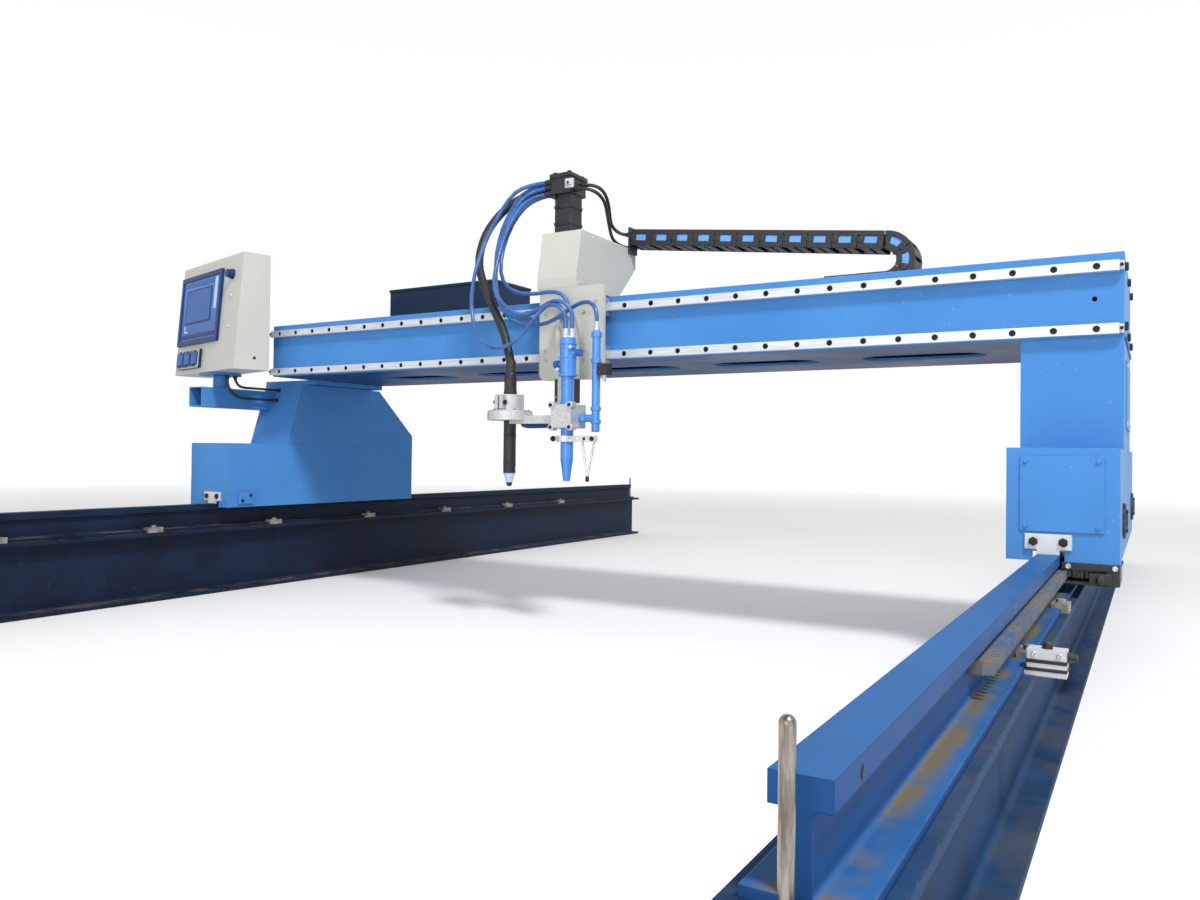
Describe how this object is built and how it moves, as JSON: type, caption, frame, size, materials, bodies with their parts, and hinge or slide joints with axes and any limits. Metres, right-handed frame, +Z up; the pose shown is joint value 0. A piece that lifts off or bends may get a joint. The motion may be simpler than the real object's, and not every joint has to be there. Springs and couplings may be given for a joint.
{
  "type": "gantry cutting machine",
  "caption": "Blue gantry plasma and flame cutting machine on two floor rails, with a console, a cross carriage with torches, hoses and a drag chain.",
  "frame": {"origin": "middle of the left track beam's middle anchor pattern, on the floor", "axes": "+X from the left rail to the right rail, +Y along the rails away from the viewer's side, +Z up"},
  "size_m": [3.0356, 4.49, 1.279],
  "materials": {
    "gantry_paint": "satin",
    "left_track_paint": "satin",
    "right_track_paint": "satin",
    "grey_paint": "satin",
    "black_paint": "satin",
    "bare_steel": "satin",
    "cast_aluminium": "satin",
    "chain_plastic": "matte",
    "black_plastic": "matte",
    "blue_plastic": "gloss",
    "blue_enamel": "gloss",
    "nozzle_brass": "satin",
    "screen_glass": "gloss",
    "black_rubber": "satin",
    "blue_rubber": "gloss"
  },
  "bodies": {
    "track": {"left_track_beam": "left_track_paint", "right_track_beam": "right_track_paint", "left_rail": "left_track_paint", "right_rail": "right_track_paint", "rail_clips": "bare_steel", "drive_racks": "bare_steel", "end_stop_pins": "bare_steel", "limit_switch": "grey_paint"},
    "limit_plunger": {"limit_plunger": "black_plastic"},
    "gantry": {"beam": "gantry_paint", "beam_guides": "bare_steel", "beam_rack": "bare_steel", "right_leg": "gantry_paint", "right_truck": "gantry_paint", "access_panel": "gantry_paint", "left_truck": "gantry_paint", "left_tower": "gantry_paint", "scrapers": "bare_steel", "wheel_axles": "bare_steel", "drive_gearmotors": "black_paint", "console_arm": "gantry_paint", "console_cables": "black_rubber", "cabinet": "left_track_paint", "cabinet_lid": "black_paint", "chain_trough": "bare_steel"},
    "left_front_wheel": {"left_front_wheel": "bare_steel"},
    "left_rear_wheel": {"left_rear_wheel": "bare_steel"},
    "right_front_wheel": {"right_front_wheel": "bare_steel"},
    "right_rear_wheel": {"right_rear_wheel": "bare_steel"},
    "left_pinion": {"left_pinion": "bare_steel"},
    "right_pinion": {"right_pinion": "bare_steel"},
    "console": {"console_box": "grey_paint", "screen_bezel": "black_plastic", "screen_glass": "screen_glass", "keypad_plate": "bare_steel"},
    "key_1": {"key_1": "blue_plastic"},
    "key_2": {"key_2": "black_plastic"},
    "key_3": {"key_3": "blue_plastic"},
    "selector_knob": {"selector_knob": "blue_plastic"},
    "carriage": {"carriage_plate": "grey_paint", "carriage_hood": "grey_paint", "guide_blocks": "bare_steel", "carriage_gearmotor": "black_paint", "cable_post": "black_paint", "chain_bracket": "black_paint", "chain_run": "chain_plastic", "chain_cables": "black_rubber", "plasma_lead": "black_rubber", "gas_hoses": "blue_rubber", "lift_housing": "black_paint"},
    "carriage_pinion": {"carriage_pinion": "bare_steel"},
    "chain_bend": {"chain_bend": "chain_plastic"},
    "torch_lift": {"torch_block": "cast_aluminium", "torch_arm": "cast_aluminium", "plasma_torch": "black_plastic", "plasma_nozzle": "nozzle_brass", "flame_torch": "blue_enamel", "igniter": "blue_enamel"},
    "oxygen_knob": {"oxygen_knob": "blue_plastic"},
    "fuel_knob": {"fuel_knob": "black_plastic"}
  },
  "joints": [
    {"name": "gantry_travel", "type": "slide", "parent": "track", "child": "gantry", "axis": [0, 1, 0], "range_m": [-0.68, 1.84]},
    {"name": "limit_plunger_press", "type": "slide", "parent": "track", "child": "limit_plunger", "axis": [0, 0, -1], "range_m": [0, 0.005], "stiffness_N_per_m": 400},
    {"name": "console_swivel", "type": "hinge", "parent": "gantry", "child": "console", "pos_m": [-0.095, -0.598, 0.747], "axis": [0, 0, 1], "range_deg": [-40, 8]},
    {"name": "selector_turn", "type": "hinge", "parent": "console", "child": "selector_knob", "pos_m": [0.06774, -0.67692, 1.07105], "axis": [-0.2412, -0.9675, 0.0763], "range_deg": [-90, 90]},
    {"name": "carriage_travel", "type": "slide", "parent": "gantry", "child": "carriage", "axis": [1, 0, 0], "range_m": [-0.84, 0.94]},
    {"name": "carriage_pinion_turn", "type": "hinge", "parent": "carriage", "child": "carriage_pinion", "pos_m": [1.325, -0.4191, 0.911], "axis": [0, 0, 1], "continuous": true},
    {"name": "chain_follow", "type": "slide", "parent": "carriage", "child": "chain_bend", "axis": [1, 0, 0], "range_m": [-0.48, 0.43], "deforming": ["chain_run"]},
    {"name": "torch_lift_travel", "type": "slide", "parent": "carriage", "child": "torch_lift", "axis": [0, 0, 1], "range_m": [-0.08, 0.06], "deforming": ["plasma_lead", "gas_hoses"]},
    {"name": "oxygen_valve", "type": "hinge", "parent": "torch_lift", "child": "oxygen_knob", "pos_m": [1.3797, -0.662, 0.716], "axis": [-1, 0, 0], "range_deg": [-180, 180]},
    {"name": "fuel_valve", "type": "hinge", "parent": "torch_lift", "child": "fuel_knob", "pos_m": [1.4343, -0.662, 0.744], "axis": [1, 0, 0], "range_deg": [-180, 180]},
    {"name": "key_1_press", "type": "slide", "parent": "console", "child": "key_1", "axis": [0.2412, 0.9675, -0.0763], "range_m": [0, 0.003], "stiffness_N_per_m": 300},
    {"name": "key_2_press", "type": "slide", "parent": "console", "child": "key_2", "axis": [0.2412, 0.9675, -0.0763], "range_m": [0, 0.003], "stiffness_N_per_m": 300},
    {"name": "key_3_press", "type": "slide", "parent": "console", "child": "key_3", "axis": [0.2412, 0.9675, -0.0763], "range_m": [0, 0.003], "stiffness_N_per_m": 300},
    {"name": "left_front_wheel_turn", "type": "hinge", "parent": "gantry", "child": "left_front_wheel", "pos_m": [0, -0.51317, 0.3563], "axis": [1, 0, 0], "continuous": true},
    {"name": "left_rear_wheel_turn", "type": "hinge", "parent": "gantry", "child": "left_rear_wheel", "pos_m": [0, 0.02983, 0.3563], "axis": [1, 0, 0], "continuous": true},
    {"name": "right_front_wheel_turn", "type": "hinge", "parent": "gantry", "child": "right_front_wheel", "pos_m": [2.565, -0.576, 0.3563], "axis": [1, 0, 0], "continuous": true},
    {"name": "right_rear_wheel_turn", "type": "hinge", "parent": "gantry", "child": "right_rear_wheel", "pos_m": [2.565, 0.122, 0.3563], "axis": [1, 0, 0], "continuous": true},
    {"name": "left_pinion_turn", "type": "hinge", "parent": "gantry", "child": "left_pinion", "pos_m": [-0.0609, -0.62917, 0.26], "axis": [0, 0, 1], "continuous": true},
    {"name": "right_pinion_turn", "type": "hinge", "parent": "gantry", "child": "right_pinion", "pos_m": [2.6259, -0.692, 0.26], "axis": [0, 0, 1], "continuous": true}
  ],
  "couplings": [
    {"joint": "left_front_wheel_turn", "follows": "gantry_travel", "rad_per_m": -16.667},
    {"joint": "left_rear_wheel_turn", "follows": "gantry_travel", "rad_per_m": -16.667},
    {"joint": "right_front_wheel_turn", "follows": "gantry_travel", "rad_per_m": -16.667},
    {"joint": "right_rear_wheel_turn", "follows": "gantry_travel", "rad_per_m": -16.667},
    {"joint": "left_pinion_turn", "follows": "gantry_travel", "rad_per_m": -30.769},
    {"joint": "right_pinion_turn", "follows": "gantry_travel", "rad_per_m": 30.769},
    {"joint": "carriage_pinion_turn", "follows": "carriage_travel", "rad_per_m": -30.769},
    {"joint": "chain_follow", "follows": "carriage_travel", "ratio": -0.5}
  ]
}
